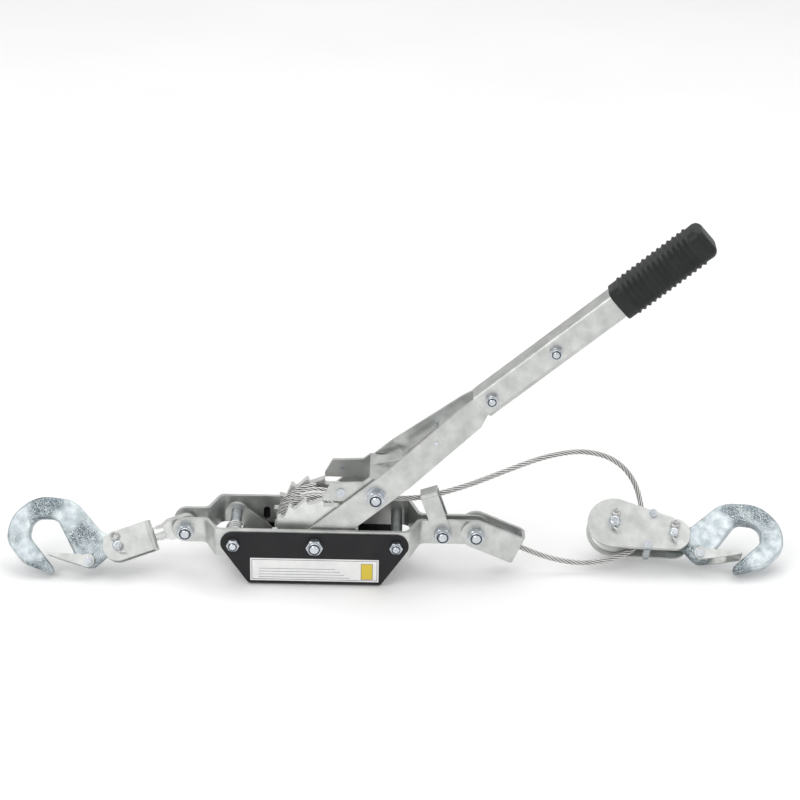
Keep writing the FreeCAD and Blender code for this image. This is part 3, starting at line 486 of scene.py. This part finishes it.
FINISHES = {
    "zinc_plate": ZINC,
    "bright_zinc": BRIGHT,
    "painted_shade_zinc": PAINTED_SHADE_ZINC,
    "wheel_steel": WHEEL,
    "forged_steel": FORGED,
    "black_paint": BLACK,
    "nylon": NYLON,
    "spring_steel": WIRE,
    "grip_plastic": GRIP,
    "wire_rope": ROPE,
    "label": LABEL,
}
NODES_BY_FINISH = {
    "zinc_plate": """near_side_bar far_side_bar holding_pawl near_handle_arm far_handle_arm
        drive_pawl keeper_strap rope_clevis swivel_clevis anchor_latch near_cheek far_cheek
        block_latch""",
    "bright_zinc": """axle_bolt tang_bolts large_lock_nuts guard_bolts small_lock_nuts
        pawl_sleeve axle_washers drum_ties handle_bolts handle_lock_nuts pawl_pivot_bolt
        pawl_pivot_nut pawl_pivot_washers spring_anchor_pin drive_pawl_rivets rope_stop
        anchor_pin anchor_latch_rivet sheave_pin block_spacers block_hook_pin
        block_latch_rivet""",
    # The spacer sleeve gets the painted-shade copy of the zinc plate.
    "painted_shade_zinc": "spacer_sleeve",
    "wheel_steel": "near_ratchet_wheel far_ratchet_wheel drum_hub anchor_link sheave",
    "forged_steel": "anchor_hook block_hook",
    "black_paint": "guard",
    "nylon": "nut_inserts handle_nut_inserts",
    "spring_steel": """pawl_spring drive_pawl_spring anchor_split_pin block_split_pins
        anchor_latch_spring block_latch_spring""",
    "grip_plastic": "grip",
    "wire_rope": "free_rope wound_rope",
    "label": "guard_label",
}
for finish, names in NODES_BY_FINISH.items():
    for name in names.split():
        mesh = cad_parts[name].data
        mesh.materials.clear()
        mesh.materials.append(FINISHES[finish])

# ---------------------------------------------------------------- free rope
# Two lengths of one rope: the loop stays with the frame, and the tail is left as a piece of its
# own.
TAIL_STEPS, HELD_STEPS = 62, 18
path, rope_length = even(smooth_line(rope_route()), ROPE_STEP)
joint_at = len(path) - 1 - TAIL_STEPS


def free_rope(name, part):
    swept = Sweep()
    swept.rope(path, part=part)
    piece = swept.build(name, ROPE)
    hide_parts("free_rope")
    return piece


loop = free_rope("rope_strands", slice(0, joint_at + 1))
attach(loop, "frame")
tail = free_rope("rope_tail", slice(joint_at, None))
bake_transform(tail)

# ---------------------------------------------------------------- rope on the drum
WOUND_R = 0.0328  # to the middle of the outer turns
LAYER_DROP = 0.0030
WOUND_HALF = 0.0134
TURN_STEPS = 90  # in one turn of rope


def winding(radius, y0, y1, turns, phase, sway):
    """Turns round the drum from y0 to y1, a little uneven as rope winds under a light load."""
    count = turns * TURN_STEPS
    line = []
    for i in range(count + 1):
        share = i / count
        angle = phase - math.tau * turns * share
        drift = sway * math.sin(angle * 0.41 + radius * 900) * math.sin(math.pi * share)
        y = y0 + (y1 - y0) * share + drift
        line.append(Vector((radius * math.cos(angle), y, AXLE_Z + radius * math.sin(angle))))
    return line


swept = Sweep()
outer = winding(WOUND_R, -WOUND_HALF, WOUND_HALF, 4, math.pi / 2, 0.0012)
inner = winding(WOUND_R - LAYER_DROP, WOUND_HALF, -WOUND_HALF, 5, 0.6, 0.0003)
swept.rope(outer, 0.4, 8)
swept.rope(inner, 0.9, 6)
wound = swept.build("wound_strands", ROPE)
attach(wound, "drum")
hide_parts("wound_rope")

# The last part of a turn, up to where the free rope starts.
lead = [
    Vector((WOUND_R * math.cos(a), 0.0, AXLE_Z + WOUND_R * math.sin(a)))
    for a in (2.0, 1.85, 1.7, 1.58)
]
lead += [Vector((0.0040, 0.0, 0.0726)), Vector((0.0140, 0.0, 0.0714)), Vector(LEAD[0])]
swept = Sweep()
swept.rope(even(smooth_line(lead), ROPE_STEP)[0])
lead_in = swept.build("rope_lead_in", ROPE)
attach(lead_in, "frame")

# ---------------------------------------------------------------- springs
PULL_COIL_R, PULL_WIRE_R = 0.00168, 0.00046
pawl_end = Vector((0.0757, 0.012, 0.1064))
pin_end = Vector((0.1025, 0.012, 0.1330))
axis = (pin_end - pawl_end).normalized()
coil_start, coil_end = pawl_end + axis * 0.0005, pin_end - axis * 0.0042
line = [pawl_end - axis * 0.0022, coil_start]
line += helix(coil_start, coil_end, PULL_COIL_R, 19)
line += [coil_end + axis * 0.0006, pin_end - axis * 0.0002]
swept = Sweep()
swept.tube(line, PULL_WIRE_R, 8)
spring = swept.build("drive_spring_coil", WIRE)
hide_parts("drive_pawl_spring")
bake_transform(spring)

TORSION_COIL_R, TORSION_WIRE_R = 0.0067, 0.00095
LEFT_BOLT_X = -0.070
TORSION_Y = (-0.0033, -0.0179)
ends = [Vector((LEFT_BOLT_X, y, AXLE_Z)) for y in TORSION_Y]
coil = helix(*ends, TORSION_COIL_R, 4.375)
leg = [coil[-1] + Vector((0.0003, 0.0, 0.0030)), Vector((-0.0626, TORSION_Y[1], 0.0495))]
swept = Sweep()
swept.tube(coil + leg, TORSION_WIRE_R, 8)
torsion = swept.build("pawl_spring_coil", WIRE)
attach(torsion, "frame")
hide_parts("pawl_spring")

# ---------------------------------------------------------------- grip
HANDLE_ANGLE = math.radians(41.0)
GRIP_START, GRIP_END = 0.333, 0.426
HALF_W, HALF_D, CORNER = 0.0160, 0.0150, 0.0090
RIBS, RIB_PITCH, RIB_H = 14, 0.0052, 0.0012
FIRST_RIB = 0.0105  # from the grip's start
DOME = 0.0065  # the length of the rounded far end
ARC_STEPS = 8


def rounded_section(half_d, half_w, corner):
    """A rectangle with round corners."""
    flat_d, flat_w = half_d - corner, half_w - corner
    points = []
    for quarter, (sy, sz) in enumerate(((1, 1), (-1, 1), (-1, -1), (1, -1))):
        for k in range(ARC_STEPS + 1):
            a = math.radians(90 * quarter + 90 * k / ARC_STEPS)
            points.append((sy * flat_d + corner * math.cos(a), sz * flat_w + corner * math.sin(a)))
    return points


def grip_profile():
    """Distance along the handle and how far the skin lies under the full size."""
    collar = ((0.0, RIB_H + 0.0004), (0.0006, RIB_H), (0.0090, RIB_H))
    rib = (
        (-0.0013, RIB_H),
        (-0.0008, 0.0003),
        (0.0, 0.0),
        (0.0008, 0.0003),
        (0.0013, RIB_H),
        (0.0026, RIB_H + 0.0003),
    )
    steps = [(GRIP_START + along, under) for along, under in collar]
    for i in range(RIBS):
        middle = GRIP_START + FIRST_RIB + i * RIB_PITCH
        steps += [(middle + along, under) for along, under in rib]
    last = GRIP_END - DOME
    steps.append((last, RIB_H))
    for k in range(1, ARC_STEPS + 1):
        a = math.radians(90 * k / ARC_STEPS)
        steps.append((last + DOME * math.sin(a), RIB_H + 0.0062 * (1 - math.cos(a))))
    return steps


lie = Vector((math.cos(HANDLE_ANGLE), 0, math.sin(HANDLE_ANGLE)))
across = Vector((-math.sin(HANDLE_ANGLE), 0, math.cos(HANDLE_ANGLE)))
rings, travelled = [], []
for distance, under in grip_profile():
    centre = Vector((0, 0, AXLE_Z)) + lie * distance
    section = rounded_section(HALF_D - under, HALF_W - under, CORNER - under)
    rings.append([centre + Vector((0, -y, 0)) + across * z for y, z in section])
    travelled.append(distance)
swept = Sweep()
swept.add(rings, travelled)
sleeve = swept.build("grip_ribs", GRIP)
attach(sleeve, "handle")
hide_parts("grip")

# ---------------------------------------------------------------- floor and light
FLOOR_HALF, FLOOR_Z = 9.0, -0.0003
mesh = bpy.data.meshes.new("floor")
corners = ((-1, -1), (1, -1), (1, 1), (-1, 1))
spots = [(x * FLOOR_HALF, y * FLOOR_HALF, FLOOR_Z) for x, y in corners]
mesh.from_pydata(spots, [], [(0, 1, 2, 3)])
floor = link("floor", mesh)
material, nodes, links, bsdf = shader("floor")
where = nodes.new("ShaderNodeTexCoord")
soft = noise(nodes, links, where, 3.0)
links.new(ramp(nodes, links, soft.outputs["Fac"], 0.93, 0.96), bsdf.inputs["Base Color"])
links.new(ramp(nodes, links, soft.outputs["Fac"], 0.7, 0.8), bsdf.inputs["Roughness"])
mesh.materials.append(material)


def lamp(name, at, to, size, power):
    """A rectangular area light, sizes in metres and power in watts."""
    data = bpy.data.lights.new(name, "AREA")
    data.shape = "RECTANGLE"
    data.size, data.size_y = size
    data.energy = power
    obj = bpy.data.objects.new(name, data)
    obj.location = at
    obj.rotation_euler = (Vector(to) - Vector(at)).to_track_quat("-Z", "Y").to_euler()
    bpy.context.scene.collection.objects.link(obj)


lamp("key", (-1.5, -1.7, 2.3), (0.05, 0, 0.08), (2.2, 2.2), 30)
lamp("top", (0.3, 0.7, 2.4), (0.05, 0, 0.05), (3.0, 2.0), 31)
lamp("fill", (2.0, -1.2, 1.4), (0.1, 0, 0.1), (1.4, 1.8), 7)
world = bpy.data.worlds.new("studio")
bpy.context.scene.world = world
world.use_nodes = True
backdrop = world.node_tree.nodes["Background"]
backdrop.inputs["Color"].default_value = (1, 1, 1, 1)
backdrop.inputs["Strength"].default_value = 0.60
